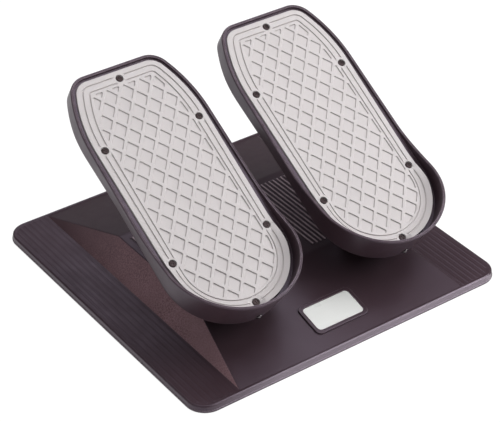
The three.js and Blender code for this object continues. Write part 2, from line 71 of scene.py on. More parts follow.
COVER_INSET = 3.3
COVER_CORNER = 15
COVER_Z = (3.2, 5.7)
COVER_SCREWS = [(x, y) for x in (-100, 0, 100) for y in (-120, 120)]
FOOT = {"x": 155, "y": 150}
PAD = {"x": 72.5, "half_x": 36.5, "half_y": 61, "corner": 3, "pocket": 1.5, "mat": 1.2}
PAD_RIB = {"count": 14, "half_width": 0.95, "corner": 0.92, "clear": 0.5, "outer_clear": 1.2}
PLATE = {"half_x": 28.25, "half_y": 15.3, "corner": 4, "top": 1.5, "up_ramp": 35.2}
FRAME = {"border": 4.2, "corner": 6, "low": 0.1, "high": 1.9}

PEDALS = {"left": -91.15, "right": 91.15}
PEDAL_HEEL = (-137.75, 66.6)  # the heel screw, on top of the tread
TILT = math.radians(30.56)  # how far the pedals stand up at rest
HEEL = {"centre": 56, "half_width": 72.3, "reach": 69.5}  # half an ellipse
SIDE = {"end": 205, "half_width": 70.9, "radius": 160, "sweep": 24.5}
TOE_RADIUS = 23.5
HEEL_END = HEEL["centre"] - HEEL["reach"]
SHELL = {"bottom": -17, "floor": -14, "draft": 3, "inner_draft": 1.5, "inside": 5.7}
UPRIGHT = {"from": 235, "over": 85}  # past this a wall has no draft, and over this length it loses it
RIM = {"low": 1.2, "rise": 21, "start": 115, "power": 1.8, "round": 2.2}  # it is straight below its round
TREAD = {"inset": 6, "thickness": 4, "field": 22.5, "narrower": 3.2}
TREAD_SCREWS = [(0, 0), (-55.6, 68.25), (55.6, 68.25), (-55.6, 201.75), (55.6, 201.75), (0, 270)]
TREAD_SCREW_Z = -1.3
RIVET_Z = -10  # from the tread's top

# Screws: head radius, head height and shank length
COVER_SCREW = (3.5, 1.3, 7)
PEDESTAL_SCREW = (3.6, 2, 11)
TREAD_SCREW = (3.7, 1, 11)
BRACKET_SCREW = (3.6, 2, 9)
SHANK = 1.7
CLEARANCE_HOLE = 2.2

PIN = {"y": -82, "z": 53, "radius": 4, "half": 23.5, "groove": 3.4}
EAR = {"from": 10, "to": 12.5, "radius": 9, "ahead": 15.9, "back": 20, "round": (239.4, 342)}
CHEEK = {"from": 13.9, "to": 20.4, "radius": 9, "bore": 6}
CLIP = {"radius": 7, "hole": 3.7, "from": 20.7, "to": 21.7, "mouth": 23.1, "hole_mouth": 42.5}
BRACKET = {"half": 20, "from": 16, "to": 88, "chamfer": 10, "top": SHELL["bottom"] - GAP, "thickness": 2.5}
BRACKET_LOW = BRACKET["top"] - BRACKET["thickness"]
BRACKET_SCREWS = (26, 76)
PEDESTAL = {"half_x": 21, "half_y": 13, "corner": 5, "top": 4, "screw_x": 7, "screw_y": -5.5}
STOP = {"thickness": 3, "height": 15}  # the pedestal's front wall, which the ears rest on
SPRING = {"radius": 7, "wire": 1.1, "turns": 4, "half": 6}
UPPER_LEG = {"angle": 130, "length": 21}  # leaves the coil for the bracket; angle from the pedal
LOWER_LEG = {"angle": 220, "length": 14}  # leaves the coil for the pedestal; angle from the ramp


def ramp_z(y):
    return EDGE_Z + (CENTRE_FOOT[1] - abs(y)) * math.tan(RAMP)


# ---- Placing ----
def move(x, y, z, turn_x=0.0):
    return Matrix.Translation((x, y, z)) @ Matrix.Rotation(turn_x, 4, "X")


def pedal_frame(x):
    """X across the pedal, Y from heel to toe, Z square to the tread; the origin is the heel screw."""
    return move(x, *PEDAL_HEEL, TILT)


def ramp_frame(x):
    """The origin is on the front ramp under a hinge pin, and Z is square to the ramp."""
    return move(x, PIN["y"], ramp_z(PIN["y"]), RAMP)


ALONG_X = Matrix(((0, 0, 1, 0), (1, 0, 0, 0), (0, 1, 0, 0), (0, 0, 0, 1)))
DOWN = Matrix.Rotation(math.pi, 4, "X")
PIN_IN_PEDAL = pedal_frame(0).inverted() @ Vector((0, PIN["y"], PIN["z"]))
PIN_ON_RAMP = ramp_frame(0).inverted() @ Vector((0, PIN["y"], PIN["z"]))


# ---- Outlines: closed, anticlockwise, one row a point ----
def arc(x, y, radius, start, end, steps, radius_y=None):
    """A stretch of an outline, between two angles in degrees."""
    angles = np.radians(np.linspace(start, end, steps + 1))
    return np.column_stack([x + radius * np.cos(angles), y + (radius_y or radius) * np.sin(angles)])


def circle(x, y, radius, sides=32):
    return arc(x, y, radius, 0, 360, sides)[:-1]


def rounded_rectangle(half_x, half_y, radius, steps=8, x=0, y=0):
    right, top = half_x - radius, half_y - radius
    corners = [(right, top, 0), (-right, top, 90), (-right, -top, 180), (right, -top, 270)]
    return np.vstack([arc(x + i, y + j, radius, a, a + 90, steps) for i, j, a in corners])


def inset(outline, distance):
    """The outline moved inwards, square to its sides."""
    side = np.roll(outline, -1, axis=0) - outline
    side = side / np.linalg.norm(side, axis=1)[:, None]
    after = np.column_stack([side[:, 1], -side[:, 0]])
    before = np.roll(after, 1, axis=0)
    share = 1 + np.sum(before * after, axis=1)[:, None]
    return outline - distance * (before + after) / share


def soften(outline, reach, steps=4):
    """The outline with each sharp corner turned into a short curve."""
    points = []
    for i, corner in enumerate(outline):
        back, ahead = outline[i - 1] - corner, outline[(i + 1) % len(outline)] - corner
        a, b = back / np.linalg.norm(back), ahead / np.linalg.norm(ahead)
        if np.dot(a, b) < -0.9:
            points.append(corner)
            continue
        for t in np.linspace(0, 1, steps + 1):
            points.append(corner + a * reach * (1 - t) ** 2 + b * reach * t**2)
    return np.array(points)


def at(outline, z):
    """The outline as 3-D points; z is one height or one for each point."""
    return np.column_stack([outline, np.broadcast_to(z, len(outline))])


# ---- Skins: (points, faces) ----
HOLE_EDGE = 0.25  # the rounding of a hole's edges


def loft(rings, low_cap=True, high_cap=True, loop=False):
    """A skin over closed rings that have the same number of points."""
    count, total = len(rings[0]), len(rings)
    faces = []
    for i in range(total if loop else total - 1):
        low, high = i * count, (i + 1) % total * count
        for j in range(count):
            k = (j + 1) % count
            faces.append((low + j, low + k, high + k, high + j))
    if low_cap and not loop:
        faces.append(tuple(range(count))[::-1])
    if high_cap and not loop:
        faces.append(tuple(range((total - 1) * count, total * count)))
    return np.vstack(rings), faces


def relief(loops, lines=(), holes=()):
    """A surface over XY that runs through closed loops and open lines of 3-D points, which don't cross.
    The loops numbered in holes are left open."""
    everything = [*loops, *lines]
    points = np.vstack(everything)
    owner = np.repeat(np.arange(len(everything)), [len(line) for line in everything])
    edges, first = [], 0
    for i, line in enumerate(everything):
        count = len(line)
        for j in range(count if i < len(loops) else count - 1):
            edges.append((first + j, first + (j + 1) % count))
        first += count
    flat = [Vector((x, y)) for x, y in points[:, :2]]
    _, _, triangles, source, _, _ = delaunay_2d_cdt(flat, edges, [], 1, 1e-7)
    origin = [s[0] for s in source]
    faces = []
    for triangle in triangles:
        owners = {owner[origin[i]] for i in triangle}
        if len(owners) > 1 or owners.isdisjoint(holes):
            faces.append(tuple(triangle))
    return points[origin], faces


def join(*skins):
    points, faces, first = [], [], 0
    for p, f in skins:
        points.append(p)
        faces += [tuple(i + first for i in face) for face in f]
        first += len(p)
    return np.vstack(points), faces


def placed(skin, matrix):
    m = np.array(matrix)
    return skin[0] @ m[:3, :3].T + m[:3, 3], skin[1]


def quarter_round(edge, steps=3):
    """(inwards, down) from a face to the side below it."""
    angles = np.linspace(0, math.pi / 2, steps + 1)
    return [(edge * (1 - math.sin(a)), edge * (1 - math.cos(a))) for a in angles]


def prism(outline, low, high, edge=0.4, holes=(), foot=None):
    """An outline carried from one height to another, with rounded edges and holes. The lower edge can
    have a rounding of its own."""
    foot = foot or edge
    profile = [(i, low + d) for i, d in quarter_round(foot)]
    profile += [(i, high - d) for i, d in reversed(quarter_round(edge))]
    skins = [loft([at(inset(outline, i), z) for i, z in profile], False, False)]
    hole_turn = quarter_round(HOLE_EDGE, 2)
    hole_profile = [(i, low + d) for i, d in hole_turn] + [(i, high - d) for i, d in reversed(hole_turn)]
    for hole in holes:
        skins.append(loft([at(inset(hole, -i), z) for i, z in hole_profile], False, False))
    for z, turn in ((low, foot), (high, edge)):
        loops = [at(inset(outline, turn), z)] + [at(inset(hole, -HOLE_EDGE), z) for hole in holes]
        skins.append(relief(loops, holes=range(1, len(loops))))
    return join(*skins)


def turned(profile, sides=40, loop=False):
    """A profile of (radius, z) points, turned about Z. Its ends are closed flat, or it closes on itself."""
    return loft([at(circle(0, 0, radius, sides), z) for radius, z in profile], loop=loop)


def tube(path, radius, sides=12):
    """A round wire along a path of points."""
    path = np.array(path, float)
    along = np.gradient(path, axis=0)
    along = along / np.linalg.norm(along, axis=1)[:, None]
    across = np.cross(along[0], (0.3, 0.5, 0.8))
    angles = np.linspace(0, 2 * math.pi, sides, endpoint=False)
    rings = []
    for point, direction in zip(path, along):
        across = across - direction * np.dot(across, direction)
        across = across / np.linalg.norm(across)
        other = np.cross(direction, across)
        rings.append(point + radius * (np.outer(np.cos(angles), across) + np.outer(np.sin(angles), other)))
    ends = [path[0] - along[0] * radius * 0.3, path[-1] + along[-1] * radius * 0.3]
    first = ends[0] + (rings[0] - path[0]) * 0.75
    last = ends[1] + (rings[-1] - path[-1]) * 0.75
    return loft([first, *rings, last])


def add(name, skin, material, body, nodes, matrix=None, sharp=38):
    """Makes a piece that rides on a CAD body and stands for CAD nodes."""
    points, faces = placed(skin, matrix or Matrix.Identity(4))
    mesh = bpy.data.meshes.new(name)
    mesh.from_pydata((points * MM).tolist(), [], faces)
    work = bmesh.new()
    work.from_mesh(mesh)
    bmesh.ops.remove_doubles(work, verts=work.verts, dist=2e-6)
    bmesh.ops.recalc_face_normals(work, faces=work.faces)
    work.to_mesh(mesh)
    work.free()
    mesh.shade_smooth()
    mesh.set_sharp_from_angle(angle=math.radians(sharp))
    mesh.materials.append(material)
    piece = bpy.data.objects.new(name, mesh)
    bpy.context.scene.collection.objects.link(piece)
    normals = piece.modifiers.new("normals", "WEIGHTED_NORMAL")
    normals.keep_sharp = True
    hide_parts(*nodes)
    if body:
        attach(piece, body)
    return piece


# ---- Materials ----
class Nodes:
    """A material's node tree, with short ways to add to it."""

    def __init__(self, name):
        self.material = bpy.data.materials.new(name)
        self.material.use_nodes = True
        self.tree = self.material.node_tree
        self.shader = self.tree.nodes["Principled BSDF"]
        self.place = self.node("ShaderNodeTexCoord").outputs["Object"]

    def node(self, kind, **settings):
        made = self.tree.nodes.new(kind)
        for key, value in settings.items():
            setattr(made, key, value)
        return made

    def link(self, output, socket):
        self.tree.links.new(output, socket)

    def noise(self, scale, detail=3.0, roughness=0.5, stretch=None):
        made = self.node("ShaderNodeTexNoise")
        made.inputs["Scale"].default_value = scale
        made.inputs["Detail"].default_value = detail
        made.inputs["Roughness"].default_value = roughness
        place = self.place
        if stretch:
            mapping = self.node("ShaderNodeMapping")
            mapping.inputs["Scale"].default_value = stretch
            self.link(place, mapping.inputs["Vector"])
            place = mapping.outputs["Vector"]
        self.link(place, made.inputs["Vector"])
        return made.outputs["Fac"]

    def spread(self, value, low, high, start=0.3, end=0.7):
        """Carries a value from start..end to low..high."""
        made = self.node("ShaderNodeMapRange")
        for key, number in zip(("From Min", "From Max", "To Min", "To Max"), (start, end, low, high)):
            made.inputs[key].default_value = number
        self.link(value, made.inputs["Value"])
        return made.outputs["Result"]

    def times(self, a, b):
        made = self.node("ShaderNodeMath", operation="MULTIPLY")
        self.link(a, made.inputs[0])
        self.link(b, made.inputs[1])
        return made.outputs[0]

    def mix(self, factor, first, second):
        """A colour between two, each a colour or another node's output."""
        made = self.node("ShaderNodeMix", data_type="RGBA")
        self.link(factor, made.inputs["Factor"])
        for name, colour in (("A", first), ("B", second)):
            socket = [s for s in made.inputs if s.name == name and s.type == "RGBA"][0]
            if isinstance(colour, tuple):
                socket.default_value = (*colour, 1)
            else:
                self.link(colour, socket)
        return [s for s in made.outputs if s.type == "RGBA"][0]

    def edges(self, reach):
        """1 on edges and 0 on flat faces."""
        bevel = self.node("ShaderNodeBevel", samples=4)
        bevel.inputs["Radius"].default_value = reach * MM
        dot = self.node("ShaderNodeVectorMath", operation="DOT_PRODUCT")
        self.link(bevel.outputs["Normal"], dot.inputs[0])
        self.link(self.node("ShaderNodeNewGeometry").outputs["Normal"], dot.inputs[1])
        return self.spread(dot.outputs["Value"], 1, 0, 0.88, 0.995)

    def bump(self, height, depth):
        made = self.node("ShaderNodeBump")
        made.inputs["Strength"].default_value = 1
        made.inputs["Distance"].default_value = depth * MM
        self.link(height, made.inputs["Height"])
        if self.shader.inputs["Normal"].links:
            self.link(self.shader.inputs["Normal"].links[0].from_socket, made.inputs["Normal"])
        self.link(made.outputs["Normal"], self.shader.inputs["Normal"])

    def set(self, name, value):
        self.shader.inputs[name].default_value = value


def shade(colour, factor):
    return tuple(c * factor for c in colour)


def plastic(
    name, colour, roughness, grain, grain_depth, edge_colour, vary=0.08, tint=(1, 1, 1), flecks=0.35, painted_fade=None
):
    """Moulded plastic: a fine grain, cloudy colour and gloss, and lighter edges that are partly rubbed wear
    and partly a painted highlight.
    It can darken along an axis to another colour as a painted shade: painted_fade is the axis, two places
    on it in metres, and the colour at the first."""
    n = Nodes(name)
    cloud = n.spread(n.noise(14, 4), 0, 1)
    body = n.mix(cloud, shade(colour, 1 - vary), shade(colour, 1 + vary))
    speck = n.spread(n.noise(grain * 0.6, 2), 0, 1, 0.35, 0.65)
    strength = n.times(speck, n.spread(n.noise(30, 2), flecks * 0.45, flecks))
    body = n.mix(strength, body, shade(colour, 1 - 2.2 * vary))
    # A painted shade: the colour darkens along one axis towards the given colour.
    if painted_fade:
        axis, start, end, other = painted_fade
        split = n.node("ShaderNodeSeparateXYZ")
        n.link(n.place, split.inputs["Vector"])
        body = n.mix(n.spread(split.outputs[axis], 0, 1, start, end), other, body)
    # Lighter edges: partly rubbed wear, partly a painted highlight on rims, beads and lips.
    edge_mask = n.times(n.edges(1.2), n.spread(n.noise(90, 4), 0.35, 1))
    n.link(n.mix(edge_mask, body, edge_colour), n.shader.inputs["Base Color"])
    n.link(n.spread(n.noise(45, 5, 0.6), roughness - 0.06, roughness + 0.07), n.shader.inputs["Roughness"])
    n.bump(n.noise(grain, 2, 0.6), grain_depth)
    n.bump(n.noise(120, 2), 0.02)
    n.set("Specular Tint", (*tint, 1))
    return n.material


def metal(name, colour, roughness, edge_colour, stretch=(1, 1, 1)):
    """Plated or oxidised steel, or bronze: fine drawn lines, stains and bright edges."""
    n = Nodes(name)
    stain = n.spread(n.noise(70, 5, 0.6), 0, 1)
    body = n.mix(stain, shade(colour, 0.82), shade(colour, 1.1))
    edge_mask = n.times(n.edges(0.5), n.spread(n.noise(260, 3), 0.3, 1))
    n.link(n.mix(edge_mask, body, edge_colour), n.shader.inputs["Base Color"])
    lines = n.noise(1500, 2, 0.6, stretch)
    n.link(n.spread(lines, roughness - 0.08, roughness + 0.12), n.shader.inputs["Roughness"])
    n.bump(lines, 0.02)
    n.set("Metallic", 1)
    return n.material


DARK = (0.045, 0.026, 0.032)
LILAC = (0.88, 0.78, 1.0)
# Its edge colour is several times lighter than its body: mostly a painted highlight on the pedal rims, the
# front edge and the nameplate frame, partly rubbed wear.
dark_plastic = plastic("dark_plastic", DARK, 0.36, 1700, 0.018, (0.24, 0.195, 0.22), tint=LILAC)
# The side slopes' grain, darker towards the back as a painted shade.
grained_plastic = plastic(
    "grained_plastic", (0.34, 0.2, 0.217), 0.6, 1150, 0.1, (0.28, 0.18, 0.19), 0.22, LILAC,
    flecks=1, painted_fade=("Y", 0.15, 0, (0.08, 0.045, 0.05)),
)
black_plastic = plastic("black_plastic", (0.024, 0.020, 0.021), 0.5, 1300, 0.03, (0.07, 0.062, 0.064))
# A lighter lilac material for the front edge's front faces: a painted sheen, with painted shade towards the
# left corner.
front_sheen_plastic = plastic(
    "front_sheen_plastic", (0.215, 0.177, 0.205), 0.38, 1300, 0.02, (0.3, 0.25, 0.29), 0.1, LILAC,
    painted_fade=("X", -0.185, -0.09, DARK),
)
grey_plastic = plastic("grey_plastic", (0.575, 0.54, 0.541), 0.48, 1500, 0.02, (0.64, 0.61, 0.61), 0.02)
white_plastic = plastic("white_plastic", (0.78, 0.79, 0.77), 0.3, 1400, 0.01, (0.93, 0.93, 0.92), 0.012)
rubber = plastic("rubber", (0.045, 0.028, 0.033), 0.42, 1100, 0.03, (0.17, 0.13, 0.145), 0.1, LILAC)
# Pale rib tops: a painted highlight on the landing pads' ribs.
rib_highlight_rubber = plastic("rib_highlight_rubber", (0.55, 0.44, 0.48), 0.5, 1100, 0.03, (0.62, 0.52, 0.55), 0.1, LILAC)
steel = metal("steel", (0.55, 0.54, 0.53), 0.3, (0.75, 0.74, 0.73), (1, 0.06, 1))
black_steel = metal("black_steel", (0.038, 0.028, 0.029), 0.4, (0.08, 0.07, 0.072))
polished_steel = metal("polished_steel", (0.13, 0.115, 0.12), 0.16, (0.25, 0.23, 0.24))
brass = metal("brass", (0.42, 0.27, 0.12), 0.38, (0.62, 0.45, 0.24), (0.06, 1, 1))


# ---- Screws ----
def pan_screw(head, height, length):
    """Its head stands on z = 0, with a cross recess, and its shank points down."""
    flat = 0.62 * head
    side = [(1.1, -length), (SHANK, 1 - length), (SHANK, -0.3), (2, 0), (head - 0.15, 0), (head, 0.15)]
    side += [(head * r, height * z) for r, z in ((1, 0.4), (0.95, 0.66), (0.84, 0.88))] + [(flat, height)]
    rings = [at(circle(0, 0, radius), z) for radius, z in side]
    reach, half = 0.5 * head, 0.4
    arm = np.array([(half, half), (half, reach), (-half, reach)])
    quarter_turn = np.array(((0, 1), (-1, 0)))
    cross = np.vstack([arm @ np.linalg.matrix_power(quarter_turn, i) for i in range(4)])
    top = relief([rings[-1], at(cross, height), at(inset(cross, 0.12), height - min(0.75, height * 0.6))])
    return join(loft(rings, high_cap=False), top)


# ---- Base ----
def bend(corner, before, after, steps=4):
    """Points on a curve from one place to another, pulled towards a corner."""
    a, b, c = (np.array(p, float) for p in (before, corner, after))
    return [a * (1 - t) ** 2 + 2 * b * t * (1 - t) + c * t * t for t in np.linspace(0, 1, steps + 1)]


def centre_rings():
    """The raised centre's rings as (half x, half y, z), with a soft foot and soft shoulders."""
    def spread_to(reach):
        """Lengths along the side slope and the ramp that change the height by the same amount."""
        return reach, reach * math.sin(SIDE_SLOPE) / math.sin(RAMP)

    def along(point, reach, towards_top):
        """The point moved up the slopes, or down them."""
        x, y, z = point
        rx, ry = spread_to(reach)
        sign = -1 if towards_top else 1
        out_x, out_y = sign * rx * math.cos(SIDE_SLOPE), sign * ry * math.cos(RAMP)
        return x + out_x, y + out_y, z - sign * rx * math.sin(SIDE_SLOPE)

    drop = EDGE_Z - STRIP_Z
    foot = (CENTRE_FOOT[0] + drop / math.tan(SIDE_SLOPE), CENTRE_FOOT[1] + drop / math.tan(RAMP), STRIP_Z)
    top = (*CENTRE_TOP, PLATEAU_Z)
    out_x, out_y = spread_to(0.25)
    in_x, in_y = spread_to(1.0)
    return [
        *bend(foot, (foot[0] + out_x, foot[1] + out_y, STRIP_Z), along(foot, 0.25, True)),
        *bend(top, along(top, 1.0, False), (top[0] - in_x, top[1] - in_y, PLATEAU_Z), 6),
    ]


def strip_rib(x):
    """One low rib of a side strip, as loops for the relief, long enough to end just inside the lip."""
    inner_x = BASE_HALF[0] - BASE_CORNER
    lip = BASE_CORNER - LIP
    half_width = STRIP_RIB["half_width"]
    past = max(0, abs(x) + half_width - inner_x)
    half_y = BASE_HALF[1] - BASE_CORNER + math.sqrt(lip**2 - past**2) - STRIP_RIB["clear"]
    shapes = [(0, 0), (0.45, 0.16), (0.95, 0.25), (1.3, 0.27)]
    outlines = [rounded_rectangle(half_width - i, half_y - i, 1.55 - i, 5, x=x) for i, _ in shapes]
    return [at(outline, STRIP_Z + height) for outline, (_, height) in zip(outlines, shapes)]


def base_skin():
    inside = [(3, 6.3), (3, 1.6), (2.7, 1.25)]
    bead = [(0.9, 1.2), (0.35, 1.4), (0.05, 2), (0, 3), (0.15, 3.5), (0.6, 3.8), (0.7, 4.2)]
    top = [(0.8, 7.2), (0.95, 7.9), (1.3, 8.5), (1.8, 8.98), (2.4, 9.25), (2.9, EDGE_Z), (LIP, 9.15)]
    half_x, half_y = BASE_HALF
    edge = []
    for inwards, z in inside + bead + top:
        outline = rounded_rectangle(half_x - inwards, half_y - inwards, BASE_CORNER - inwards, 12)
        edge.append(at(outline, z))
    centre = [at(rounded_rectangle(x, y, CENTRE_CORNER, 5), z) for x, y, z in centre_rings()]
    ribs = []
    for side in (-1, 1):
        for k in range(STRIP_RIB["count"]):
            ribs += strip_rib(side * (STRIP_RIB["first"] + STRIP_RIB["pitch"] * k))
    pockets = []
    for side in (-1, 1):
        for out, z in ((0.2, 0), (0, -0.15), (-0.12, -PAD["pocket"])):
            half = (PAD["half_x"] + out, PAD["half_y"] + out)
            outline = rounded_rectangle(*half, PAD["corner"] + out, x=side * PAD["x"])
            pockets.append(at(outline, PLATEAU_Z + z))
    return join(
        loft(edge, high_cap=False),
        relief([edge[-1], centre[0], *ribs], holes=[1]),
        loft(centre, False, False),
        relief([centre[-1], *pockets]),
    )


def landing_pad_skin():
    """A thin mat with round-topped ribs from front to back."""
    low = PLATEAU_Z - PAD["pocket"] + GAP
    top = low + PAD["mat"]
    half_x, half_y = PAD["half_x"] - GAP, PAD["half_y"] - GAP
    skins = [prism(rounded_rectangle(half_x, half_y, PAD["corner"]), low, top, 0.3)]
    count, half_width = PAD_RIB["count"], PAD_RIB["half_width"]
    pitch = 2 * half_x / count
    for i in range(count):
        x = (i + 0.5) * pitch - half_x
        end = half_y - PAD_RIB["outer_clear" if i in (0, count - 1) else "clear"]
        rings = []
        for s, height in ((0, -0.3), (0.05, 0.6), (0.2, 1.0), (0.42, 1.28), (0.75, 1.4)):
            outline = rounded_rectangle(half_width - s, end - s, PAD_RIB["corner"] - s, 6, x=x)
            rings.append(at(outline, top + height))
        skins.append(loft(rings))
    return join(*skins)


def make_moulding():
    """The base's shell, with a grain on the sides of its raised centre and a painted sheen on the front of
    its front edge.
    """
    moulding = add("base_moulding", base_skin(), dark_plastic, "base", ["base_shell"])
    moulding.data.materials.append(grained_plastic)
    moulding.data.materials.append(front_sheen_plastic)
    for face in moulding.data.polygons:
        x, z = abs(face.center.x) / MM, face.center.z / MM
        if abs(face.normal.x) > 0.6 and x < CENTRE_FOOT[0] and z > EDGE_Z:
            face.material_index = 1
        # Front faces of the front edge get the painted sheen material.
        front = face.center.y / MM < SHEEN_BAND_DEPTH - BASE_HALF[1]
        if front and face.normal.y < -0.05 and z > 3:
            face.material_index = 2


def make_underside():
    cover = rounded_rectangle(BASE_HALF[0] - COVER_INSET, BASE_HALF[1] - COVER_INSET, COVER_CORNER, 10)
    holes = [circle(x, y, CLEARANCE_HOLE, 24) for x, y in COVER_SCREWS]
    cover_skin = prism(cover, *COVER_Z, 0.4, holes)
    add("base_cover_plate", cover_skin, black_plastic, "base", ["base_cover"])
    foot_side = [(9.6, 0), (10.4, 0.15), (10.85, 0.6), (11, 1.2), (11, 2.6), (10.8, 2.9)]
    for end, y in (("front", -FOOT["y"]), ("back", FOOT["y"])):
        for side, x in (("left", -FOOT["x"]), ("right", FOOT["x"])):
            name = f"rubber_foot_{end}_{side}"
            add(name + "_pad", turned(foot_side), rubber, "base", [name], move(x, y, 0))
    for i, (x, y) in enumerate(COVER_SCREWS):
        name = f"cover_screw_{i + 1}"
        place = move(x, y, COVER_Z[0] - GAP) @ DOWN
        add(name + "_pan", pan_screw(*COVER_SCREW), black_steel, "base", [name], place)


def make_nameplate():
    y = PLATE["up_ramp"] * math.cos(RAMP) - CENTRE_FOOT[1]
    place = move(0, y, ramp_z(y), RAMP)
    half_x, half_y, corner = PLATE["half_x"], PLATE["half_y"], PLATE["corner"]
    window = rounded_rectangle(half_x + GAP, half_y + GAP, corner + GAP)
    border = rounded_rectangle(half_x + FRAME["border"], half_y + FRAME["border"], FRAME["corner"])
    frame_skin = prism(border, FRAME["low"], FRAME["high"], 0.8, [window], foot=0.1)
    add("nameplate_bezel", frame_skin, dark_plastic, "base", ["nameplate_frame"], place)
    plate = prism(rounded_rectangle(half_x, half_y, corner), GAP, PLATE["top"], 0.25)
    add("nameplate_blank", plate, white_plastic, "base", ["nameplate"], place)


# ---- Hinges ----
def cheek_outline():
    y, z = PIN_ON_RAMP.y, PIN_ON_RAMP.z
    half, stop, low = PEDESTAL["half_y"], STOP["height"], PEDESTAL["top"] - 1
    reach = math.hypot(y + half, z - stop)
    tangent = math.degrees(math.atan2(z - stop, y + half) + math.asin(CHEEK["radius"] / reach))
    foot = np.array([(-half, low), (half, low)])
    return np.vstack([foot, arc(y, z, CHEEK["radius"], 0, 90 + tangent, 24), [(-half, stop)]])


def pedestal_skin():
    p = PEDESTAL
    foot = rounded_rectangle(p["half_x"], p["half_y"], p["corner"])
    holes = [circle(i * p["screw_x"], p["screw_y"], CLEARANCE_HOLE, 24) for i in (-1, 1)]
    bore = circle(PIN_ON_RAMP.y, PIN_ON_RAMP.z, CHEEK["bore"], 40)
    skins = [prism(foot, GAP, p["top"], 0.5, holes)]
    for low, high in ((CHEEK["from"], CHEEK["to"]), (-CHEEK["to"], -CHEEK["from"])):
        skins.append(placed(prism(cheek_outline(), low, high, 0.5, [bore]), ALONG_X))
    front, back = -p["half_y"], STOP["thickness"] - p["half_y"]
    low, high = p["top"] - 1, STOP["height"]
    wall = np.array([(front, low), (back, low), (back, high), (front, high)], float)
    skins.append(placed(prism(wall, -CHEEK["from"] - 1, CHEEK["from"] + 1, 0.4), ALONG_X))
    return join(*skins)


def pin_skin():
    """A rod with rounded ends and a groove for a clip near each."""
    radius, half, groove = PIN["radius"], PIN["half"], PIN["groove"]
    near, far = CLIP["from"] - GAP / 2, CLIP["to"] + GAP / 2
    end = [(3.2, -half), (3.7, 0.2 - half), (radius, 0.6 - half)]
    end += [(radius, -far), (groove, -far), (groove, -near), (radius, -near)]
    return turned(end + [(r, -x) for r, x in reversed(end)])


def clip_skin():
    """A ring with a mouth, snapped into the pin's groove."""
    outside = arc(0, 0, CLIP["radius"], CLIP["mouth"], 360 - CLIP["mouth"], 40)
    inside = arc(0, 0, CLIP["hole"], 360 - CLIP["hole_mouth"], CLIP["hole_mouth"], 30)
    return prism(np.vstack([outside, inside]), CLIP["from"], CLIP["to"], 0.15)


def bush_skin():
    """A flanged sleeve, as a closed loop round its bore."""
    loop = [(4.3, 12.95), (4.45, 12.8), (7.8, 12.8), (8, 13), (8, 13.4), (7.85, 13.6), (5.7, 13.6)]
    return turned(loop + [(5.7, 19.9), (5.5, 20.1), (4.5, 20.1), (4.3, 19.9)], loop=True)


def spring_path():
    """A torsion spring about the pin: the upper leg, on the left, the coil, then the lower leg."""
    start = math.radians(UPPER_LEG["angle"]) + TILT
    end = math.radians(LOWER_LEG["angle"] + 360 * SPRING["turns"]) + RAMP
    half, radius = SPRING["half"], SPRING["radius"]

    def on_leg(angle, x, distance):
        direction = np.array((0, -math.sin(angle), math.cos(angle)))
        return np.array((x, radius * math.cos(angle), radius * math.sin(angle))) + distance * direction

    coil = []
    for t in np.linspace(0, 1, 221):
        angle = start + (end - start) * t
        coil.append((half * (2 * t - 1), radius * math.cos(angle), radius * math.sin(angle)))
    upper = [on_leg(start, -half, -d) for d in np.linspace(UPPER_LEG["length"], 2, 12)]
    lower = [on_leg(end, half, d) for d in np.linspace(2, LOWER_LEG["length"], 9)]
    return np.array([*upper, *coil, *lower])


def make_hinge(side, x):
    at_pin = move(x, PIN["y"], PIN["z"])
    pad = move(math.copysign(PAD["x"], x), 0, 0)
    name = f"{side}_landing_pad"
    mat = add(name + "_ribbed", landing_pad_skin(), rubber, "base", [name], pad)
    mat.data.materials.append(rib_highlight_rubber)
    # Rib tops get the pale material, a painted highlight.
    for face in mat.data.polygons:
        if face.center.z / MM > PLATEAU_Z + RIB_HIGHLIGHT_ABOVE:
            face.material_index = 1
    name = f"{side}_hinge_pedestal"
    add(name + "_block", pedestal_skin(), black_plastic, "base", [name], ramp_frame(x))
    name = f"{side}_hinge_pin"
    add(name + "_rod", pin_skin(), steel, "base", [name], at_pin @ ALONG_X)
    for end, direction in (("inner", -math.copysign(1, x)), ("outer", math.copysign(1, x))):
        facing = Matrix.Identity(4) if direction > 0 else Matrix.Rotation(math.pi, 4, "Y")
        name = f"{side}_pivot_bush_{end}"
        add(name + "_flanged", bush_skin(), brass, "base", [name], at_pin @ facing @ ALONG_X)
        name = f"{side}_pin_clip_{end}"
        place = at_pin @ facing @ ALONG_X
        add(name + "_ring", clip_skin(), black_steel, "base", [name], place)
        name = f"{side}_pedestal_screw_{end}"
        on_foot = move(direction * PEDESTAL["screw_x"], PEDESTAL["screw_y"], PEDESTAL["top"] + GAP)
        place = ramp_frame(x) @ on_foot
        add(name + "_pan", pan_screw(*PEDESTAL_SCREW), black_steel, "base", [name], place)
    name = f"{side}_torsion_spring"
    wire = tube(spring_path(), SPRING["wire"])
    spring = add(name + "_wire", wire, steel, None, [name], at_pin)
    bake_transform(spring)


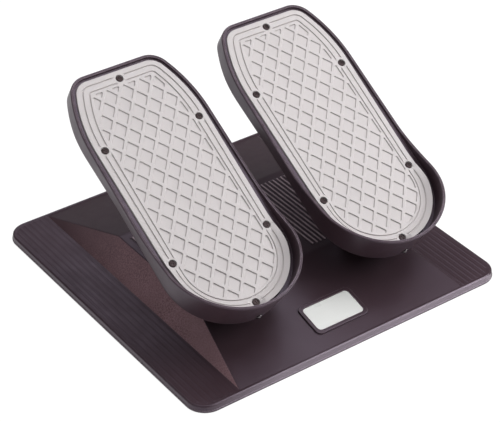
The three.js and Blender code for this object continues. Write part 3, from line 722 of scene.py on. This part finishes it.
# ---- Pedals ----
def pedal_outline(inwards, fine=1, smaller=0.0):
    """From the heel's end round the right side, the toe and the left side; the heel can be made smaller."""
    side_x, sweep = SIDE["half_width"] - SIDE["radius"], SIDE["sweep"]
    toe_x = side_x + (SIDE["radius"] - TOE_RADIUS) * math.cos(math.radians(sweep))
    toe_y = SIDE["end"] + (SIDE["radius"] - TOE_RADIUS) * math.sin(math.radians(sweep))
    heel_x = HEEL["half_width"] - inwards - TREAD["narrower"] * smaller
    heel = arc(0, HEEL["centre"], heel_x, -90, 0, 60 * fine, HEEL["reach"] - inwards - smaller)
    side = arc(side_x, SIDE["end"], SIDE["radius"] - inwards, 0, sweep, 18 * fine)
    toe = arc(toe_x, toe_y, TOE_RADIUS - inwards, sweep, 90, 18 * fine)[1:]
    share = np.linspace(0, 1, 38 * fine + 1)[1:-1, None]
    straight = heel[-1] * (1 - share) + side[0] * share
    share = np.linspace(0, 1, 9 * fine + 1)[1:, None]
    toe_end = toe[-1] * (1 - share) + np.array((0, toe[-1][1])) * share
    right = np.vstack([heel, straight, side, toe, toe_end])
    left = (right[1:-1] * (-1, 1))[::-1]
    return np.vstack([right, left])


def rim_height(y):
    """How far the shell's rim stands over the tread; it rises round the heel."""
    t = np.clip((RIM["start"] - y) / (RIM["start"] - HEEL_END), 0, 1)
    return RIM["low"] + RIM["rise"] * np.sin(t * math.pi / 2) ** RIM["power"]


def drafted(inwards, draft):
    """The outline moved inwards, and further by a draft except at the toe end."""
    wide = pedal_outline(inwards)
    share = np.clip((UPRIGHT["from"] - wide[:, 1]) / UPRIGHT["over"], 0, 1)[:, None]
    return wide * (1 - share) + pedal_outline(inwards + draft) * share


def shell_skin():
    """The tub: from its underside up the outside, over the rim, down to the ledge round the tread and on
    down to the floor."""
    bottom, floor, draft, inside = SHELL["bottom"], SHELL["floor"], SHELL["draft"], SHELL["inside"]
    rim = rim_height(pedal_outline(0)[:, 1])
    wall = rim - RIM["round"] - bottom
    rings = [at(drafted(i, draft), bottom + z) for i, z in ((1.4, 0), (0.6, 0.15), (0.05, 0.7))]
    for share in (0.12, 0.3, 0.5, 0.7, 0.85, 1):
        rings.append(at(drafted(0, draft * (1 - share)), bottom + wall * share))
    outer_bead = [(0, -1.4), (0.08, -0.9), (0.35, -0.4), (0.8, -0.08), (1.15, 0), (1.5, -0.12)]
    groove = [(1.75, -0.5), (2, -0.55), (2.2, -0.35)]
    inner_bead = [(2.5, -0.2), (2.95, -0.25), (3.15, -0.5), (3.2, -1)]
    rings += [at(pedal_outline(i), rim + z) for i, z in outer_bead + groove + inner_bead]
    for inwards, z, smaller in ((3.25, -1.4, 0), (3.4, -1.7, 0), (5.5, -1.75, 1), (inside, -1.95, 1)):
        rings.append(at(pedal_outline(inwards, smaller=smaller), z))
    for share in (0.75, 0.5, 0.25, 0.1, 0):
        rings.append(at(drafted(inside, SHELL["inner_draft"] * (1 - share)), floor + 11.5 * share))
    return loft(rings)


def clip_polygon(polygon, point, normal):
    """The part of a convex polygon on the side of a line that its normal points away from."""
    kept = []
    depth = (polygon - point) @ normal
    for i, here in enumerate(polygon):
        j = (i + 1) % len(polygon)
        if depth[i] <= 0:
            kept.append(here)
        if depth[i] * depth[j] < 0:
            kept.append(here + (polygon[j] - here) * depth[i] / (depth[i] - depth[j]))
    return np.array(kept).reshape(-1, 2)


def clip_inside(polygon, border, distance=0.0):
    """The part of a convex polygon that lies inside a convex border, by at least a distance."""
    for i, here in enumerate(border):
        side = border[(i + 1) % len(border)] - here
        length = np.linalg.norm(side)
        if length < 1e-6:
            continue
        normal = np.array((side[1], -side[0])) / length
        polygon = clip_polygon(polygon, here - normal * distance, normal)
        if len(polygon) < 3:
            return polygon
    return polygon


def area(polygon):
    x, y = polygon[:, 0], polygon[:, 1]
    return 0.5 * abs(np.dot(x, np.roll(y, -1)) - np.dot(y, np.roll(x, -1)))


def grown(core, distance, steps=3):
    """A convex outline moved outwards, round at its corners."""
    points = []
    for i, corner in enumerate(core):
        before, after = corner - core[i - 1], core[(i + 1) % len(core)] - corner
        start, end = math.atan2(-before[0], before[1]), math.atan2(-after[0], after[1])
        end += 2 * math.pi * (end < start - 1e-9)
        for angle in np.linspace(start, end, steps + 1):
            points.append(corner + distance * np.array((math.cos(angle), math.sin(angle))))
    return np.array(points)


# The lattice of the tread: a cell's half sizes, and what is too small to keep
CELL = {"half_x": 9.6, "half_y": 12, "shift": 1.5, "rib": 2.6, "corner": 1.3}
LEAST = {"cell": 8, "core": 0.4, "side": 0.15}
CELL_STEPS = [(CELL["corner"], 0), (1.2, -0.1), (1.06, -0.4), (0.84, -1.35), (0.6, -1.5)]
# The two grooves round its border, and (across, depth) over one of them
GROOVE_MIDDLES = (12.5, 19.5)
GROOVE = [(-1.0, 0), (-0.78, -0.4), (-0.55, -1.5), (0.55, -1.5), (0.78, -0.4), (1.0, 0)]
# Distances from a screw: the border's lines stop at the first two, and its grooves and curl fade in
NEAR_SCREW = {"line": 7.5, "groove": 5.3, "groove_fade": (6.3, 7.3), "curl_fade": (5, 9)}
# The heel's curl: its height, the y where it starts and where it is full, and how wide the curled border is
CURL = {"height": 6, "start": 84, "full": 39, "width": 14, "power": 1.7}
# A screw's seat in the tread, as (radius, z)
SEAT = [(4.45, 0), (4.25, -0.15), (4.1, -1.6)]


def cells():
    """Loops for the tread's recessed diamonds, between its lattice of ribs and cut off at the border."""
    border = pedal_outline(TREAD["field"])[::4]
    loops = []
    half_x, half_y = CELL["half_x"], CELL["half_y"]
    tips = np.array([(half_x, 0), (0, half_y), (-half_x, 0), (0, -half_y)])
    half_rib = CELL["rib"] / 2
    for row in range(-1, 24):
        for column in range(-6, 7):
            if (row + column) % 2 == 0:
                continue
            diamond = tips + (column * half_x, row * half_y + CELL["shift"])
            cell = clip_inside(diamond, border)
            if len(cell) < 3:
                continue
            cell = clip_inside(cell, diamond, half_rib)
            if len(cell) < 3 or area(cell) < LEAST["cell"]:
                continue
            core = clip_inside(cell, cell, CELL["corner"])
            if len(core) < 3 or area(core) < LEAST["core"]:
                continue
            core = core[np.linalg.norm(core - np.roll(core, 1, axis=0), axis=1) > LEAST["side"]]
            if len(core) < 3:
                continue
            loops += [at(grown(core, distance), z) for distance, z in CELL_STEPS]
    return loops


def screw_distance(points):
    screws = np.array(TREAD_SCREWS, float)
    return np.linalg.norm(points[:, None, :2] - screws[None], axis=2).min(axis=1)


def smooth(value, low, high):
    t = np.clip((value - low) / (high - low), 0, 1)
    return t * t * (3 - 2 * t)


def heel_lift(points, inwards):
    """How far the tread's border curls up round the heel."""
    round_heel = smooth(CURL["start"] - points[:, 1], 0, CURL["start"] - CURL["full"])
    across = np.clip(1 - (inwards - TREAD["inset"]) / CURL["width"], 0, 1) ** CURL["power"]
    return CURL["height"] * round_heel * across * smooth(screw_distance(points), *NEAR_SCREW["curl_fade"])


def tread_outline(inwards):
    """The tread is smaller round the heel than the shell, most of all at its edge."""
    return pedal_outline(inwards, 2, float(np.clip((TREAD["field"] - inwards) / 10, 0, 1)))


def broken(line, keep):
    """The runs of a closed line's points that are kept."""
    if keep.all():
        return [np.vstack([line, line[:1]])]
    start = int(np.argmin(keep))
    line, keep = np.roll(line, -start, axis=0), np.roll(keep, -start)
    runs, run = [], []
    for point, kept in zip(line, keep):
        if kept:
            run.append(point)
        elif run:
            runs.append(np.array(run))
            run = []
    return runs + ([np.array(run)] if run else [])


def tread_skin():
    def ring(inwards, z=0, lifted=1):
        outline = tread_outline(inwards)
        return at(outline, z + lifted * heel_lift(outline, inwards))

    inset_edge = TREAD["inset"]
    rim = ring(inset_edge + 0.8)
    loops, lines = [rim], []
    for inwards in (8.3, 9.8, 15.2, 16.6, 21.6):
        line = ring(inwards)
        lines += broken(line, screw_distance(line) > NEAR_SCREW["line"])
    for middle in GROOVE_MIDDLES:
        for across, depth in GROOVE:
            outline = tread_outline(middle + across)
            near = screw_distance(outline)
            sunk = depth * smooth(near, *NEAR_SCREW["groove_fade"])
            line = at(outline, sunk + heel_lift(outline, middle + across))
            lines += broken(line, near > NEAR_SCREW["groove"])
    for x, y in TREAD_SCREWS:
        loops += [at(circle(x, y, radius, 28), z) for radius, z in SEAT]
    loops += cells()
    lines = [line for line in lines if len(line) > 1]
    edge = [(0, -TREAD["thickness"], 0), (0, -0.9, 1), (0.1, -0.45, 1), (0.35, -0.12, 1)]
    skirt = [ring(inset_edge + inwards, z, lifted) for inwards, z, lifted in edge]
    return join(loft([*skirt, rim], high_cap=False), relief(loops, lines))


def bracket_skin():
    """A plate under the shell with two ears round the pin."""
    half, front, back, chamfer = (BRACKET[key] for key in ("half", "from", "to", "chamfer"))
    right = [(half, front), (half, back - chamfer), (half - chamfer, back)]
    plate = soften(np.array(right + [(-x, y) for x, y in reversed(right)], float), 3)
    holes = [circle(0, v, CLEARANCE_HOLE, 24) for v in BRACKET_SCREWS]
    y, z = PIN_IN_PEDAL.y, PIN_IN_PEDAL.z
    ahead, top = y - EAR["ahead"], BRACKET_LOW + 1
    top_and_front = [(y + EAR["back"], top), (ahead, top), (ahead, z)]
    ear = np.vstack([top_and_front, arc(y, z, EAR["radius"], *EAR["round"], 18)])
    bore = circle(y, z, PIN["radius"] + GAP, 32)
    skins = [prism(plate, BRACKET_LOW, BRACKET["top"], 0.45, holes)]
    for start, end in ((EAR["from"], EAR["to"]), (-EAR["to"], -EAR["from"])):
        skins.append(placed(prism(ear, start, end, 0.3, [bore]), ALONG_X))
    return join(*skins)


def rivet_skin():
    """A snap rivet: a shank, a flange and a domed middle."""
    shank = [(1.3, -4), (1.5, -3.7), (1.5, GAP)]
    flange = [(3.5, GAP), (3.8, 0.5), (3.7, 0.95), (3.3, 1.2), (2.7, 1.3), (2.35, 1.25)]
    dome = [(2.15, 1.5), (1.9, 1.95), (1.4, 2.25), (0.7, 2.4)]
    return turned(shank + flange + dome)


def rivet_place():
    """On the outside of the heel's wall, which leans by its draft."""
    height = float(rim_height(HEEL_END)) - RIM["round"] - SHELL["bottom"]
    share = (RIVET_Z - SHELL["bottom"]) / height
    y = HEEL_END + SHELL["draft"] * (1 - share)
    return move(0, y, RIVET_Z, math.pi / 2 + math.atan(SHELL["draft"] / height))


def make_pedal(side, x):
    body, place = f"{side}_pedal", pedal_frame(x)
    name = f"{side}_pedal_shell"
    add(name + "_tub", shell_skin(), dark_plastic, body, [name], place)
    name = f"{side}_tread"
    add(name + "_plate", tread_skin(), grey_plastic, body, [name], place, sharp=50)
    for i, (u, v) in enumerate(TREAD_SCREWS):
        name = f"{side}_tread_screw_{i + 1}"
        here = place @ move(u, v, TREAD_SCREW_Z) @ Matrix.Rotation(0.7 * i + 0.3, 4, "Z")
        add(name + "_pan", pan_screw(*TREAD_SCREW), black_steel, body, [name], here)
    name = f"{side}_hinge_bracket"
    add(name + "_plate", bracket_skin(), steel, body, [name], place)
    for i, v in enumerate(BRACKET_SCREWS):
        name = f"{side}_bracket_screw_{i + 1}"
        here = place @ move(0, v, BRACKET_LOW - GAP) @ DOWN
        add(name + "_pan", pan_screw(*BRACKET_SCREW), black_steel, body, [name], here)
    name = f"{side}_heel_rivet"
    add(name + "_domed", rivet_skin(), polished_steel, body, [name], place @ rivet_place())


# ---- Studio ----
CAMERA_AT = (-0.8837, -1.2217, 1.0996)
CAMERA_AIM = (0.0497, 0.0666, 0.0012)


def make_floor():
    mesh = bpy.data.meshes.new("floor")
    mesh.from_pydata([(-8, -8, 0), (8, -8, 0), (8, 8, 0), (-8, 8, 0)], [], [(0, 1, 2, 3)])
    n = Nodes("floor_paper")
    cloud = n.spread(n.noise(3, 2), 0, 1)
    n.link(n.mix(cloud, (0.08, 0.08, 0.08), (0.10, 0.10, 0.10)), n.shader.inputs["Base Color"])
    n.set("Roughness", 0.9)
    n.set("Specular IOR Level", 0.1)
    n.set("Emission Color", (1, 1, 1, 1))
    n.set("Emission Strength", 0.98)
    mesh.materials.append(n.material)
    floor = bpy.data.objects.new("floor", mesh)
    bpy.context.scene.collection.objects.link(floor)


def make_sky():
    """A studio that is dark near the floor and bright overhead."""
    world = bpy.data.worlds.new("studio")
    world.use_nodes = True
    tree = world.node_tree
    background = tree.nodes["Background"]
    background.inputs["Color"].default_value = (1, 0.99, 1, 1)
    direction = tree.nodes.new("ShaderNodeTexCoord").outputs["Generated"]
    split = tree.nodes.new("ShaderNodeSeparateXYZ")
    tree.links.new(direction, split.inputs["Vector"])
    height = tree.nodes.new("ShaderNodeMath")
    height.operation = "POWER"
    height.use_clamp = True
    tree.links.new(split.outputs["Z"], height.inputs[0])
    height.inputs[1].default_value = 4
    strength = tree.nodes.new("ShaderNodeMapRange")
    strength.inputs["To Min"].default_value = 0.06
    strength.inputs["To Max"].default_value = 1.2
    tree.links.new(height.outputs[0], strength.inputs["Value"])
    tree.links.new(strength.outputs["Result"], background.inputs["Strength"])
    bpy.context.scene.world = world


def soft_box(name, place, aim, size, power, colour=(1, 1, 1)):
    light = bpy.data.lights.new(name, "AREA")
    light.shape = "RECTANGLE"
    light.size, light.size_y = size
    light.energy = power
    light.color = colour
    lamp = bpy.data.objects.new(name, light)
    lamp.location = place
    lamp.rotation_euler = (Vector(aim) - Vector(place)).to_track_quat("-Z", "Y").to_euler()
    bpy.context.scene.collection.objects.link(lamp)


def make_studio():
    make_floor()
    make_sky()
    soft_box("key", (1.5, -1.15, 1.42), (0.03, -0.05, 0.1), (1.0, 1.0), 18)
    soft_box("front_fill", (0.55, -0.75, 0.5), (0.1, -0.13, 0.05), (0.35, 0.35), 1.5)
    soft_box("overhead", (0.6, -0.4, 1.5), (0, -0.05, 0.1), (0.9, 0.6), 6)
    soft_box("back_panel", (0.29, 0.25, 0.9), (0, -0.12, 0.02), (0.4, 0.4), 0.95)
    soft_box("strip_panel", (0.23, 0.74, 0.6), (-0.16, 0.07, 0), (0.24, 0.35), 0.36, (1, 0.9, 1))
    soft_box("left_fill", (-1.8, -0.6, 1.5), (0, 0, 0.05), (1.4, 1.4), 2.8)
    camera = bpy.data.cameras.new("camera")
    camera.lens = 127.3
    camera.sensor_width = 36
    camera.clip_start, camera.clip_end = 0.05, 50
    eye = bpy.data.objects.new("camera", camera)
    eye.location = CAMERA_AT
    look = Vector(CAMERA_AIM) - eye.location
    eye.rotation_euler = look.to_track_quat("-Z", "Y").to_euler()
    bpy.context.scene.collection.objects.link(eye)
    bpy.context.scene.camera = eye
    bpy.context.scene.view_settings.view_transform = "Standard"


make_moulding()
make_underside()
make_nameplate()
for side, x in PEDALS.items():
    make_hinge(side, x)
    make_pedal(side, x)
make_studio()
